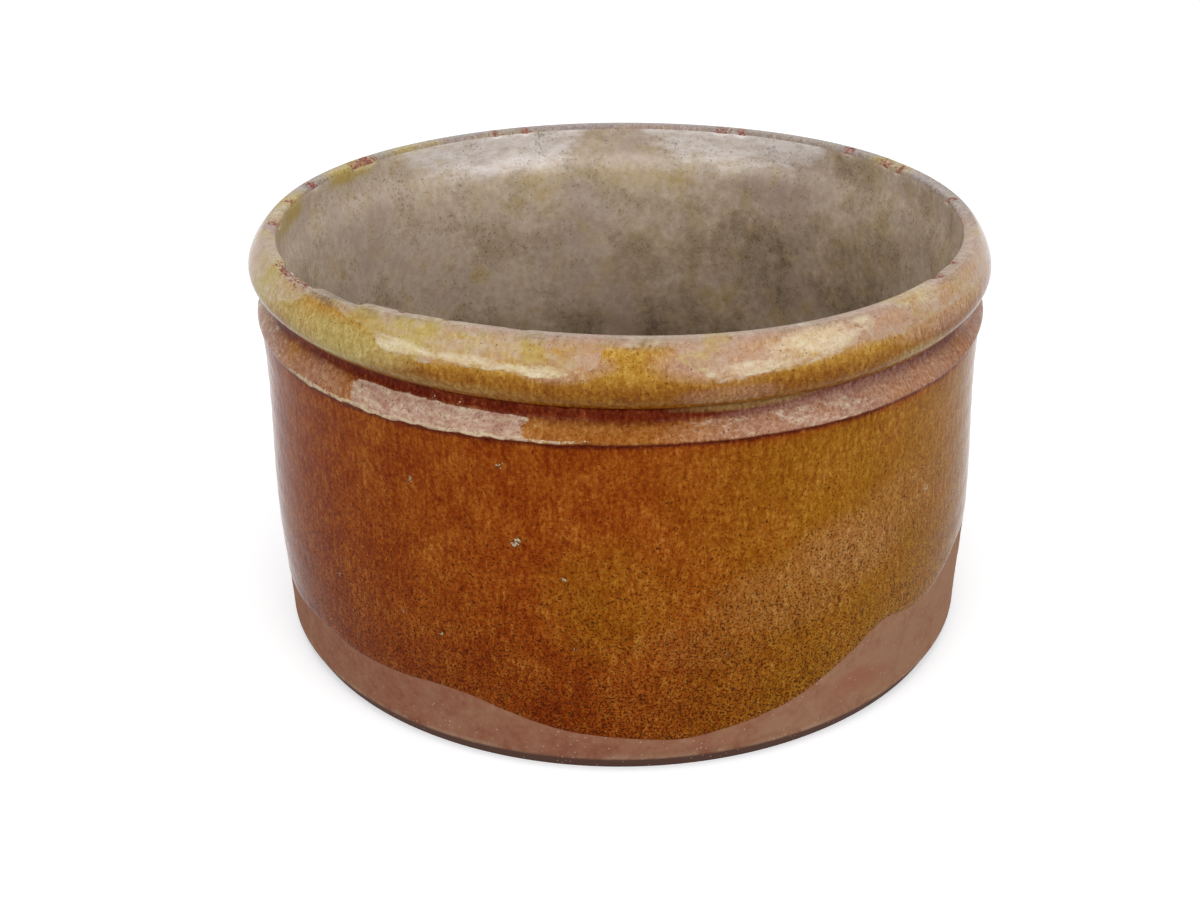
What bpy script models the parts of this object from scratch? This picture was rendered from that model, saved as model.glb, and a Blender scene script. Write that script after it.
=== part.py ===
# Glazed earthenware pot: a thrown clay body with a rolled rim, a strip of clay pressed
# on under the rim, an outer coat of glaze that ends in a wavy line above the bare foot,
# and an inner coat. The pot stands on z = 0, its axis is Z, and sizes are in metres.

import math

import bmesh
import bpy
from mathutils import Vector
from mathutils.geometry import interpolate_bezier

# The body's main sizes, in clay, without the glaze
POT_HEIGHT = 0.1471
RIM_RADIUS = 0.1291
WALL_THICKNESS = 0.0088
FLOOR_THICKNESS = 0.0090

# Foot, cut with a bevel all round
FOOT_INSET = 0.0011
BEVEL_HEIGHT = 0.0046
BEVEL_DEPTH = 0.0024

# Wall, measured inwards from the rim's radius, with its places as shares of the wall's height
BELLY_INSET = 0.0005
WAIST_INSET = 0.0023
SHOULDER_INSET = 0.0021
BELLY_SHARE = 0.38
WAIST_SHARE = 0.88
WALL_ROW_SHARES = (0.0, 0.12, 0.26, 0.40, 0.54, 0.68, 0.82, 1.0)

# Rolled rim, measured down from the top and inwards from the rim's radius
RIM_HEIGHT = 0.0172
RIM_WIDEST_DROP = 0.0128
RIM_LOWER_EDGE_INSET = 0.0019
CREST_INSET = 0.0062
LIP_WIDTH = 0.0086
LIP_EDGE_RADIUS = 0.0010
RIM_SHOULDER_SHARE = 0.35
RIM_CREST_SHARE = 0.27

# Groove under the rim, and the sloping seat of the strip below it
GROOVE_DEPTH = 0.0068
GROOVE_HEIGHT = 0.0067
GROOVE_ROOF_SHARE = 0.7
SEAT_HEIGHT = 0.0077

# Strip of clay pressed onto the seat: thick at its lower edge and thin at its upper edge
STRIP_PROUD = 0.0011
STRIP_EDGE_HEIGHT = 0.0011
STRIP_TOP_THICKNESS = 0.0012
STRIP_CROWN = 0.0004
STRIP_BROW_SHARE = 0.3
STRIP_CLEARANCE = 0.0003

# Inside of the pot: a shallow recess below the lip that ends in a low ridge, and a cove
RECESS_HEIGHT = 0.0230
RECESS_INSET = 0.0003
RIDGE_HEIGHT = 0.0050
INNER_WALL_LEAN = 0.0008
COVE_RADIUS = 0.0150

# Glaze: the gap that it keeps to the clay, its coats, and the line where it ends
GLAZE_CLEARANCE = 0.0003
GLAZE_THICKNESS = 0.0006
GLAZE_POOL = 0.0007
GLAZE_RUN_BEAD = 0.0002
INNER_GLAZE_THICKNESS = 0.0006
RUN_LINE_HEIGHT = 0.0280

# Height of the run line, every 22.5 degrees round from the front towards +X, as shares
RUN_LINE_SHARES = (
    0.46, 0.58, 1.28, 1.49, 1.43, 1.29, 1.17, 1.09,
    1.03, 0.97, 0.92, 0.89, 0.85, 0.81, 0.82, 0.84,
)

# Facets round the axis, and along each kind of curve
ROUND_STEPS = 64
RIM_CURVE_STEPS = 5
UNDER_RIM_STEPS = 3
GROOVE_STEPS = 4
COVE_STEPS = 5

# Places that follow from the sizes above
RIM_BOTTOM = POT_HEIGHT - RIM_HEIGHT
NECK_RADIUS = RIM_RADIUS - GROOVE_DEPTH
GROOVE_BOTTOM = RIM_BOTTOM - GROOVE_HEIGHT
WALL_TOP = GROOVE_BOTTOM - SEAT_HEIGHT
WALL_HEIGHT = WALL_TOP - BEVEL_HEIGHT
FOOT_RADIUS = RIM_RADIUS - FOOT_INSET
BELLY_RADIUS = RIM_RADIUS - BELLY_INSET
WAIST_RADIUS = RIM_RADIUS - WAIST_INSET
SHOULDER_RADIUS = RIM_RADIUS - SHOULDER_INSET
LIP_RADIUS = RIM_RADIUS - LIP_WIDTH
INNER_RADIUS = SHOULDER_RADIUS - WALL_THICKNESS


def clear_scene():
    for item in list(bpy.data.objects):
        bpy.data.objects.remove(item)


def clay_finish(name, colour, roughness):
    """A Principled material in one colour. Fired clay and its glaze are never metallic."""
    finish = bpy.data.materials.new(name)
    finish.use_nodes = True
    shader = finish.node_tree.nodes["Principled BSDF"]
    shader.inputs["Base Color"].default_value = (*colour, 1.0)
    shader.inputs["Roughness"].default_value = roughness
    shader.inputs["Metallic"].default_value = 0.0
    return finish


def point(radius, height):
    return Vector((radius, 0.0, height))


def ease(start, end, share):
    """Goes from start to end with a level beginning and a level end."""
    return start + (end - start) * share * share * (3.0 - 2.0 * share)


def wall_radius(height):
    """The wall's outer radius in clay: foot, low belly, high waist, and a flare to the shoulder."""
    share = min(max((height - BEVEL_HEIGHT) / WALL_HEIGHT, 0.0), 1.0)
    if share < BELLY_SHARE:
        return ease(FOOT_RADIUS, BELLY_RADIUS, share / BELLY_SHARE)
    if share < WAIST_SHARE:
        return ease(BELLY_RADIUS, WAIST_RADIUS, (share - BELLY_SHARE) / (WAIST_SHARE - BELLY_SHARE))
    return ease(WAIST_RADIUS, SHOULDER_RADIUS, (share - WAIST_SHARE) / (1.0 - WAIST_SHARE))


def wall_line(lowest):
    """The wall's outer line, top to bottom, down to a given height."""
    heights = [WALL_TOP - share * (WALL_TOP - lowest) for share in WALL_ROW_SHARES]
    return [point(wall_radius(height), height) for height in heights]


def rim_line():
    """The rim's line from the lip's inner edge over the crest and down to its lower edge."""
    lip = point(LIP_RADIUS + LIP_EDGE_RADIUS, POT_HEIGHT - LIP_EDGE_RADIUS)
    corner = [
        lip + LIP_EDGE_RADIUS * Vector((-math.cos(turn), 0.0, math.sin(turn)))
        for turn in (0.0, math.pi / 4, math.pi / 2)
    ]
    crest = point(RIM_RADIUS - CREST_INSET, POT_HEIGHT)
    widest = point(RIM_RADIUS, POT_HEIGHT - RIM_WIDEST_DROP)
    lower_edge = point(RIM_RADIUS - RIM_LOWER_EDGE_INSET, RIM_BOTTOM)
    face = interpolate_bezier(
        crest,
        crest + Vector((RIM_CREST_SHARE * CREST_INSET, 0.0, 0.0)),
        widest + Vector((0.0, 0.0, RIM_SHOULDER_SHARE * RIM_WIDEST_DROP)),
        widest,
        RIM_CURVE_STEPS + 1,
    )
    below = (widest.z - lower_edge.z) / 2
    under = interpolate_bezier(
        widest,
        widest - Vector((0.0, 0.0, below)),
        lower_edge + Vector((RIM_LOWER_EDGE_INSET / 2, 0.0, below / 2)),
        lower_edge,
        UNDER_RIM_STEPS,
    )
    return corner + face + under[1:]


def groove_line():
    """The hollow under the rim, from the rim's lower edge in to the neck, as far as the strip."""
    edge = rim_line()[-1]
    deepest = point(NECK_RADIUS, RIM_BOTTOM - GROOVE_HEIGHT / 2)
    hollow = interpolate_bezier(
        edge,
        edge + (point(NECK_RADIUS, RIM_BOTTOM) - edge) * GROOVE_ROOF_SHARE,
        deepest + Vector((0.0, 0.0, GROOVE_HEIGHT / 3)),
        deepest,
        GROOVE_STEPS + 1,
    )
    return hollow[1:]


def strip_outer_line():
    """The strip's own surface from its thin upper edge to its thick lower edge."""
    seat_top = point(NECK_RADIUS, GROOVE_BOTTOM)
    seat_foot = point(SHOULDER_RADIUS, WALL_TOP)
    along = (seat_foot - seat_top).normalized()
    out = Vector((-along.z, 0.0, along.x))
    top = seat_top + out * (STRIP_CLEARANCE + STRIP_TOP_THICKNESS) + along * STRIP_TOP_THICKNESS
    lip_height = WALL_TOP + SEAT_HEIGHT * STRIP_BROW_SHARE
    lip_radius = SHOULDER_RADIUS + STRIP_PROUD
    brow = point(lip_radius, lip_height)
    chin = point(lip_radius - STRIP_EDGE_HEIGHT / 3, lip_height - STRIP_EDGE_HEIGHT)
    middle = (top + brow) / 2 + out * STRIP_CROWN
    return [top, middle, brow, chin]


def strip_seat_line():
    """The strip's back, from bottom to top, lying on the seat with its clearance."""
    seat_top = point(NECK_RADIUS, GROOVE_BOTTOM)
    seat_foot = point(SHOULDER_RADIUS, WALL_TOP)
    along = (seat_foot - seat_top).normalized()
    out = Vector((-along.z, 0.0, along.x))
    chin = strip_outer_line()[-1]
    reach = (chin - seat_top).dot(along) - STRIP_CLEARANCE
    return [
        seat_top + out * STRIP_CLEARANCE + along * reach,
        seat_top + out * STRIP_CLEARANCE + along * STRIP_TOP_THICKNESS,
    ]


def inner_line():
    """The inside of the pot from the middle of the floor up to the lip, in clay."""
    cove_centre = point(INNER_RADIUS - INNER_WALL_LEAN - COVE_RADIUS, FLOOR_THICKNESS + COVE_RADIUS)
    cove = [
        cove_centre + COVE_RADIUS * Vector((math.sin(turn), 0.0, -math.cos(turn)))
        for turn in (math.pi / 2 * step / COVE_STEPS for step in range(COVE_STEPS + 1))
    ]
    ridge_height = POT_HEIGHT - RECESS_HEIGHT
    upper_wall = [
        point(INNER_RADIUS - INNER_WALL_LEAN / 3, (cove[-1].z + ridge_height) / 2),
        point(INNER_RADIUS, ridge_height - RIDGE_HEIGHT),
        point(INNER_RADIUS, ridge_height),
        point(LIP_RADIUS, ridge_height + RIDGE_HEIGHT),
        point(LIP_RADIUS + RECESS_INSET, POT_HEIGHT - RECESS_HEIGHT / 3),
    ]
    return [point(0.0, FLOOR_THICKNESS)] + cove + upper_wall + rim_line()[:1]


def offset_line(line, distances):
    """Moves each point of a line that runs down an outer side outwards by its distance."""
    moved = []
    for place, (here, distance) in enumerate(zip(line, distances)):
        before = line[max(place - 1, 0)]
        after = line[min(place + 1, len(line) - 1)]
        first = (here - before).normalized() if place else (after - here).normalized()
        last = (after - here).normalized() if place + 1 < len(line) else first
        along = (first + last).normalized()
        normal = Vector((-along.z, 0.0, along.x))
        spread = max(math.sqrt((1.0 + first.dot(last)) / 2), 0.7)
        moved.append(here + normal * distance / spread)
    return moved


def section_object(name, section, finish):
    """A solid turned from an outline in the XZ plane that runs down its outer side."""
    mesh = bpy.data.meshes.new(name)
    closed = section[0].x > 0.0
    edges = [(place, place + 1) for place in range(len(section) - 1)]
    if closed:
        edges.append((len(section) - 1, 0))
    mesh.from_pydata(section, edges, [])
    turned = bpy.data.objects.new(name, mesh)
    bpy.context.scene.collection.objects.link(turned)
    mesh.materials.append(finish)
    screw = turned.modifiers.new("Turning", "SCREW")
    screw.steps = ROUND_STEPS
    screw.render_steps = ROUND_STEPS
    screw.use_merge_vertices = True
    screw.merge_threshold = GLAZE_CLEARANCE / 100
    screw.use_smooth_shade = True
    return turned


def run_line_height(turn):
    """Height of the glaze's lower edge at an angle from the front towards +X."""
    count = len(RUN_LINE_SHARES)
    place = turn / math.tau * count
    low = math.floor(place)
    share = ease(RUN_LINE_SHARES[low % count], RUN_LINE_SHARES[(low + 1) % count], place - low)
    return RUN_LINE_HEIGHT * share


def outer_glaze_section(turn):
    """The outer coat's closed outline at one angle: its face down, and its back up again."""
    strip = strip_outer_line()
    above_strip = strip[0] + point(-STRIP_TOP_THICKNESS, STRIP_TOP_THICKNESS)
    over = rim_line()[1:] + groove_line() + [above_strip]
    line = over + strip + wall_line(run_line_height(turn))
    coats = [GLAZE_CLEARANCE + GLAZE_THICKNESS] * len(line)
    for pooled in (len(over) - 2, len(over) - 1):
        coats[pooled] += GLAZE_POOL
    coats[-1] += GLAZE_RUN_BEAD
    face = offset_line(line, coats)
    back = offset_line(line, [GLAZE_CLEARANCE] * len(line))
    return face + back[::-1]


def outer_glaze(finish):
    """The outer coat, lofted round the pot from one outline at each angle."""
    shape = bmesh.new()
    rings = []
    for step in range(ROUND_STEPS):
        turn = math.tau * step / ROUND_STEPS
        rings.append(
            [
                shape.verts.new((corner.x * math.sin(turn), -corner.x * math.cos(turn), corner.z))
                for corner in outer_glaze_section(turn)
            ]
        )
    for ring, following in zip(rings, rings[1:] + rings[:1]):
        for place in range(len(ring)):
            after = (place + 1) % len(ring)
            shape.faces.new((ring[place], ring[after], following[after], following[place]))
    bmesh.ops.recalc_face_normals(shape, faces=shape.faces)
    mesh = bpy.data.meshes.new("outer_glaze")
    shape.to_mesh(mesh)
    shape.free()
    mesh.shade_smooth()
    mesh.materials.append(finish)
    coat = bpy.data.objects.new("outer_glaze", mesh)
    bpy.context.scene.collection.objects.link(coat)
    return coat


def clay_body(finish):
    outline = inner_line() + rim_line()[1:] + groove_line()
    outline += [point(NECK_RADIUS, GROOVE_BOTTOM)] + wall_line(BEVEL_HEIGHT)
    outline += [point(FOOT_RADIUS - BEVEL_DEPTH, 0.0), point(0.0, 0.0)]
    return section_object("clay_body", outline, finish)


def cordon(finish):
    return section_object("cordon", strip_outer_line() + strip_seat_line(), finish)


def inner_glaze(finish):
    """The inner coat: its open face from the floor's middle up, and its back down again."""
    line = inner_line()[::-1]
    face = offset_line(line, [-GLAZE_CLEARANCE - INNER_GLAZE_THICKNESS] * len(line))
    back = offset_line(line, [-GLAZE_CLEARANCE] * len(line))
    return section_object("inner_glaze", face[::-1] + back, finish)


def main():
    clear_scene()
    bare_clay = clay_finish("Bare clay", (0.262, 0.132, 0.085), 0.85)
    strip_clay = clay_finish("Clay of the strip", (0.340, 0.170, 0.110), 0.80)
    amber = clay_finish("Amber glaze", (0.300, 0.095, 0.012), 0.12)
    grey = clay_finish("Stained inner glaze", (0.290, 0.240, 0.200), 0.25)
    clay_body(bare_clay)
    cordon(strip_clay)
    outer_glaze(amber)
    inner_glaze(grey)


main()
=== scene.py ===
# Glazed earthenware pot, laid out as an add-on: one operator for each piece of the pot and one
# for the stage. Sizes are in metres. The pot stands on z = 0, its axis is Z and its front,
# where the glaze runs lowest, faces -Y. An azimuth is an angle from the front towards +X.

import math

import bpy
import numpy as np
from mathutils import Matrix, Vector
from mathutils.geometry import interpolate_bezier


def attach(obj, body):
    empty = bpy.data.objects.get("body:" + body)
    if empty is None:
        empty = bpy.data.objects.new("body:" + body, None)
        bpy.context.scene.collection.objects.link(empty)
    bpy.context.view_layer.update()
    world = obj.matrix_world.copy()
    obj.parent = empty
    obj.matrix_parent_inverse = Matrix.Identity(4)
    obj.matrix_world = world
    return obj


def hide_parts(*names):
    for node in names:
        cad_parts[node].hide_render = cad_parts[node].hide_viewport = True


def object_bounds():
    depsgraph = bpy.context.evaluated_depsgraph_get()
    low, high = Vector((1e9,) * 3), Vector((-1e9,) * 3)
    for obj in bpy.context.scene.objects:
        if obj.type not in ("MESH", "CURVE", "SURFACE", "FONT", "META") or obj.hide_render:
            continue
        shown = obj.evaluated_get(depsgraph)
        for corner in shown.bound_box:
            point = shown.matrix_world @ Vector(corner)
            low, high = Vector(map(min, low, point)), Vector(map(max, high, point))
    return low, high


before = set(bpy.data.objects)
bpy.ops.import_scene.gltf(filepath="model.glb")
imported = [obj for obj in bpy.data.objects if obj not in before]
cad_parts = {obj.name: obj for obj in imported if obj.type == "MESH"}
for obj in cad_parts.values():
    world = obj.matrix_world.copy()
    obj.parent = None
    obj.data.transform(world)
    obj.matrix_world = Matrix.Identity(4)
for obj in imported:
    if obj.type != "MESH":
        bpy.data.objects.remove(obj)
cad_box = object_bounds()

bl_info = {
    "name": "Earthenware pot",
    "version": (1, 0, 0),
    "blender": (4, 5, 0),
    "location": "View3D > Sidebar > Pot",
    "description": "Thrown earthenware pot with a rolled rim, a pressed-on strip and amber glaze",
    "category": "Object",
}

# Facets round the pot. One is 1.7 mm long on the rim
ROUND_STEPS = 480
# Points closer than this are merged
MERGE = 0.000002

# The lip's inner edge, in from the rim's widest line and below the lip's top
LIP_INSET, LIP_DROP = 0.0104, 0.0016
# Top of the plain wall and of its flare to the strip, below the lip's top
WALL_TOP_DROP = 0.0325
SHOULDER_DROP = 0.0320
# Foot, low belly, high waist and shoulder: share of the wall's height, inset from the rim's radius
WALL_SWELL = ((0.0, 0.0017), (0.38, 0.0005), (0.88, 0.0024), (1.0, 0.0021))
# Radius of the hollow between wall and floor, inside
COVE = 0.0141

# How far the clay lies behind its coat, on the pot and on the strip, and the strip's thickness
CLAY_GAP = 0.0004
STRIP_GAP = 0.00015
STRIP_THICKNESS = 0.0012
# Height above the run line from which the wall's clay is taken back for the glaze
COVERED = 0.0015
# Height of the glaze's end before it is drawn to its run line
GLAZE_FOOT = 0.010
# Margin that takes in the points on an edge itself
NEAR = 0.0001

# Below this height the outside is true, and above it the waves of the rings grow
STEADY_HEIGHT = 0.080
# Throwing marks, spirals up the wall: their spacing, their depth, and how many run side by side,
# below zero where they climb the other way
THROWING_MARKS = ((0.0095, 0.00005, 1), (0.0041, 0.00004, -2))
# How far a chip cuts down and in, for each part of its depth
CHIP_SLOPE = 0.7
# Span of the noise that draws burst bubbles and flecks out of round
SHAKE = 0.005

# Camera: degrees that it is raised and turned, its distance from the pot's middle, and the height
# of that middle
VIEW_RAISED, VIEW_YAW, VIEW_PITCH, VIEW_ROLL = 24.441, 0.800, -2.096, -0.608
VIEW_DISTANCE = 0.565227
VIEW_CENTRE = 0.075

# Unevenness of each ring's height, left by the hand: a mean, then the parts that go once,
# twice and more times round, as pairs of a cosine and a sine of the azimuth
LIP_WAVES = (
    -0.00071, 0.00049, -0.00087, 0.00055, -0.00028, 0.00037, -0.00036, -0.00012, -0.00031,
    -0.00010, -0.00016,
)
RIM_EDGE_WAVES = (0.00110, -0.00004, -0.00314, -0.00213, 0.00082, 0.00062, -0.00056)
STRIP_TOP_WAVES = (-0.00062, 0.00002, -0.00139, 0.00025, -0.00074, -0.00073, 0.00022)
STRIP_EDGE_WAVES = (0.00119, -0.00005, -0.00163, -0.00222, 0.00076, 0.00173, -0.00021)

# Line where the outer glaze ends: azimuth in degrees and height
RUN_LINE = (
    (-68, 0.0225), (-53, 0.0248), (-44, 0.0227), (-34.5, 0.0235), (-27.6, 0.0251),
    (-21.7, 0.0238), (-14.6, 0.0189), (-8, 0.0151), (-2.5, 0.0138), (8.3, 0.0115),
    (18.6, 0.0152), (25.4, 0.0191), (31.3, 0.0253), (41.5, 0.0373), (50, 0.0334), (55, 0.0339),
    (65.5, 0.0418), (90, 0.0400), (112.5, 0.0361), (135, 0.0328), (157.5, 0.0305), (180, 0.0288),
    (202.5, 0.0272), (225, 0.0258), (247.5, 0.0249), (270, 0.0238),
)

# Places where glaze and clay have flaked off the lip: azimuth in degrees, length, depth
LIP_CHIPS = (
    (-61, 0.0180, 0.0014), (-53.5, 0.0160, 0.0013), (-31, 0.0070, 0.0002), (-24, 0.0050, 0.0002),
    (-14, 0.0070, 0.0002), (55, 0.0060, 0.0007), (62, 0.0040, 0.0003), (-86, 0.0060, 0.0008),
    (-97, 0.0035, 0.0005), (-107, 0.0060, 0.0006), (-124, 0.0110, 0.0008),
    (-121, 0.0050, 0.0009), (-155, 0.0045, 0.0005), (-161, 0.0045, 0.0005),
    (158.5, 0.0080, 0.0005), (154.5, 0.0050, 0.0006), (130, 0.0060, 0.0008),
    (120, 0.0070, 0.0006), (116, 0.0040, 0.0008), (96, 0.0040, 0.0006),
)

# Old dents in the lip, glazed over: azimuth where one starts and ends sharply, and depth
LIP_DENTS = ((-53, -38.5, 0.0016), (-96, -84, 0.0006), (104, 121, 0.0007))

# Lower edge of the thin, milky glaze with its painted reflection on the rim's crest: azimuth in degrees
# and height
MILKY_REFLECTION_EDGE = (
    (-90, 0.1370), (-72, 0.1385), (-58, 0.1395), (-52, 0.1440), (-47, 0.1500), (-40, 0.1455),
    (-36, 0.1450), (-32.5, 0.1395), (-27.9, 0.1390), (-20.8, 0.1393), (-14.3, 0.1393),
    (-9.3, 0.1383), (-6.5, 0.1393), (-5.9, 0.1408), (-2.9, 0.1415), (-2.1, 0.1464),
    (6.5, 0.1473), (7.6, 0.1420), (10.4, 0.1395), (12, 0.1365), (15.3, 0.1361), (18.3, 0.1376),
    (22.8, 0.1373), (27.5, 0.1375), (30, 0.1384), (32.6, 0.1395), (38, 0.1385), (44, 0.1385),
    (50, 0.1390), (60, 0.1390), (75, 0.1390), (118, 0.1420), (124, 0.1410), (141, 0.1395),
    (163, 0.1400), (171, 0.1450), (187, 0.1450), (192, 0.1405), (214, 0.1390), (229, 0.1415),
    (250, 0.1420),
)

# Lower edge of the whitish painted reflection below the lip, inside
REFLECTION_EDGE = (
    (-126, 0.1520), (-131, 0.1430), (-138, 0.1360), (-146, 0.1320), (-156, 0.1300),
    (-166, 0.1305), (-170.5, 0.1340), (-172, 0.1400), (-175, 0.1480), (-180, 0.1520),
    (136, 0.1410), (132, 0.1520), (139, 0.1360), (145, 0.1340), (152, 0.1320), (160, 0.1320),
    (167, 0.1325), (172, 0.1370), (176, 0.1450), (-20, 0.1520), (-14, 0.1380), (12, 0.1370),
    (18, 0.1520),
)

# Soft patches of the glazes: azimuth, height, half a width in degrees, half a height, strength
OLIVE_PATCHES = (
    (-42, 0.1385, 13, 0.0060, 1), (-63, 0.1425, 13, 0.0070, 0.9), (-24, 0.1455, 13, 0.0040, 0.8),
    (47, 0.1455, 5, 0.0022, 0.9), (62, 0.1420, 7, 0.0040, 0.6), (-24, 0.1330, 14, 0.0020, 0.3),
    (150, 0.1380, 26, 0.0060, 0.8), (205, 0.1400, 18, 0.0060, 0.9), (-119, 0.1465, 7, 0.0030, 1),
    (-94, 0.1460, 9, 0.0030, 0.9), (-137, 0.1465, 7, 0.0030, 0.7), (118, 0.1465, 6, 0.0030, 0.6),
    (45, 0.1310, 8, 0.0025, 0.4), (18, 0.1262, 11, 0.0020, 0.5),
)
# Rosy patches are clay through thin glaze, and on the strip and rim partly a painted reflected sheen
ROSY_AND_SHEEN_PATCHES = (
    (-4.5, 0.1420, 4, 0.0030, 0.6), (14, 0.1425, 9, 0.0060, 0.8), (40, 0.1430, 13, 0.0045, 0.85),
    (50, 0.1385, 11, 0.0045, 0.6), (76, 0.1395, 16, 0.0090, 0.8), (-82, 0.1400, 14, 0.0090, 0.7),
    (-8, 0.1400, 5, 0.0030, 0.6), (172, 0.1420, 12, 0.0050, 0.6), (36, 0.1190, 26, 0.0060, 0.75),
    (80, 0.1200, 18, 0.0060, 1), (-78, 0.1200, 22, 0.0060, 1), (-49, 0.1200, 9, 0.0060, 0.5),
    (14, 0.1320, 7, 0.0030, 0.4),
)
TAN_PATCHES = (
    (12, 0.0480, 12, 0.0110, 0.25), (24, 0.0600, 12, 0.0130, 0.5), (34, 0.0700, 10, 0.0120, 0.9),
    (44, 0.0790, 9, 0.0120, 0.5), (170, 0.0560, 20, 0.0160, 0.4),
    (232, 0.0860, 18, 0.0200, 0.25),
)
OCHRE_PATCHES = ((-1, 0.0640, 10, 0.0220, 0.5),)
# Painted highlights where the milky glaze is brightest
CREAM_HIGHLIGHT_PATCHES = (
    (-31, 0.1420, 3.6, 0.0021, 1), (-26, 0.1417, 4.5, 0.0013, 0.8),
    (-21, 0.1414, 6, 0.0013, 0.9), (-15, 0.1404, 5, 0.0014, 0.8),
    (-10.5, 0.1396, 3.6, 0.0020, 1), (13, 0.1382, 3, 0.0016, 0.4),
    (17.5, 0.1388, 5.5, 0.0022, 0.8), (26.5, 0.1428, 7, 0.0036, 0.9),
    (33, 0.1440, 4, 0.0024, 0.5), (-58, 0.1410, 8, 0.0040, 0.3), (48, 0.1450, 6, 0.0020, 0.4),
    (136, 0.1420, 9, 0.0030, 0.7), (205, 0.1410, 12, 0.0030, 0.7),
)

# Stretches of the strip where the glaze is worn thin, painted pale partly as a reflected sheen: azimuth
# where one starts and ends, strength, and the degrees over which its ends fade
WORN_AND_SHEEN_STRETCHES = (
    (-100, -58, 0.45, 6), (-57, -41, 0.30, 3), (-40, -13, 1, 2), (7, 20, 0.36, 4),
    (20, 38, 0.50, 7), (84, 150, 0.75, 12), (176, 214, 0.8, 9),
)

# Dark stains and yellow places of the inside, in the same way as the patches above
STAIN_PATCHES = (
    (171, 0.0780, 15, 0.0220, 0.6), (131, 0.0860, 20, 0.0260, 0.8),
    (150, 0.1000, 9, 0.0120, 0.7), (178, 0.0400, 40, 0.0260, 0.9), (148, 0.1250, 7, 0.0060, 0.5),
    (100, 0.0700, 20, 0.0300, 0.5),
)
YELLOW_PATCHES = (
    (-92, 0.1435, 9, 0.0042, 0.9), (-119, 0.1450, 6, 0.0030, 0.9),
    (-136, 0.1455, 6, 0.0022, 0.5), (-149, 0.0870, 2.6, 0.0030, 0.6),
    (177, 0.1250, 12, 0.0060, 0.25), (-160, 0.1220, 9, 0.0070, 0.2),
    (150, 0.0700, 11, 0.0080, 0.2),
)

# Flushes of the bare foot, in the same way as the patches above
FLUSHES = (
    (36.5, 0.0175, 4.5, 0.0050, 1), (40.5, 0.0145, 5, 0.0040, 0.9), (33, 0.0130, 4, 0.0030, 0.7),
    (14, 0.0085, 7, 0.0030, 0.6), (215, 0.0140, 9, 0.0050, 0.8), (120, 0.0180, 7, 0.0060, 0.7),
)

# Burst bubbles and grit in the wall's glaze, their pale middles painted glints, some along the groove:
# azimuth in degrees, height, size
PITS_AND_GLINTS = (
    (-14.3, 0.0830, 0.0019), (-16.3, 0.1081, 0.0012), (-26.4, 0.0454, 0.0015),
    (51, 0.0775, 0.0013), (28.4, 0.0982, 0.0007), (-32.9, 0.0495, 0.0007),
    (-6.4, 0.0479, 0.0008), (-38.9, 0.0848, 0.0008), (-30.4, 0.0977, 0.0009),
    (-46.9, 0.0659, 0.0008), (-46.3, 0.0516, 0.0007), (-7.7, 0.0718, 0.0010),
    (14.5, 0.0429, 0.0007), (-26.1, 0.1262, 0.0009), (-22.2, 0.1256, 0.0008),
    (26.6, 0.1262, 0.0009), (-47.5, 0.1190, 0.0009), (140, 0.0700, 0.0014),
    (204, 0.0930, 0.0012), (246, 0.0560, 0.0013), (98, 0.0880, 0.0010),
)

# Large iron flecks in the wall's glaze, in the same way
FLECKS = (
    (-21.4, 0.0858, 0.0012), (-11.6, 0.1140, 0.0012), (-7.7, 0.0848, 0.0011),
    (-4.8, 0.0985, 0.0010), (4.8, 0.0828, 0.0012), (5.4, 0.1170, 0.0010), (39.2, 0.1025, 0.0012),
    (-10.9, 0.0630, 0.0012), (112, 0.1010, 0.0012), (222, 0.0740, 0.0012), (166, 0.0900, 0.0011),
)


def linear(text):
    """A colour written as sRGB hex, turned into the linear values that shaders take."""
    shares = [int(text[place:place + 2], 16) / 255.0 for place in (1, 3, 5)]
    return tuple(
        share / 12.92 if share <= 0.04045 else ((share + 0.055) / 1.055) ** 2.4 for share in shares
    )


def length(name, about, default):
    return bpy.props.FloatProperty(
        name=name, description=about, default=default, min=0.0, subtype="DISTANCE", unit="LENGTH"
    )


def colour(name, about, default):
    return bpy.props.FloatVectorProperty(
        name=name, description=about, default=linear(default), size=3, min=0.0, max=1.0,
        subtype="COLOR",
    )


class PotSizes(bpy.types.PropertyGroup):
    """Sizes of the finished pot, with its glaze"""

    height: length("Height", "Table to the lip", cad_box[1].z)
    rim_radius: length("Rim radius", "Axis to the rim's widest line", cad_box[1].x)
    crest_inset: length("Crest inset", "Crest of the rim, in from its widest line", 0.0062)
    widest_drop: length("Widest drop", "Rim's widest line, below the lip", 0.0136)
    rim_height: length("Rim height", "Rolled rim, top to lower edge", 0.0186)
    groove_depth: length("Groove depth", "Hollow under the rim, in from the widest line", 0.0058)
    strip_top_inset: length("Strip top inset", "Strip's upper edge, in from the widest line", 0.0046)
    strip_edge_inset: length("Strip edge inset", "Strip's lower edge, in from the widest line", 0.0012)
    strip_top_drop: length("Strip top drop", "Strip's upper edge, below the lip", 0.0247)
    strip_edge_drop: length("Strip edge drop", "Strip's lower edge, below the lip", 0.0307)
    wall_thickness: length("Wall thickness", "Wall with both coats", 0.0106)
    floor_thickness: length("Floor thickness", "Floor with its coat", 0.0099)
    bevel_height: length("Bevel height", "Height of the bevel of the foot", 0.0046)
    bevel_depth: length("Bevel depth", "How far the bevel cuts in", 0.0024)
    coat: length("Coat", "Thickness of the glaze", 0.0004)
    edge_step: length("Edge step", "How proud the glaze stands where it ends", 0.00012)
    unevenness: bpy.props.FloatProperty(
        name="Unevenness", description="Share of the hand-made waviness", default=1.0,
        min=0.0, max=1.0, subtype="FACTOR",
    )


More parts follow.
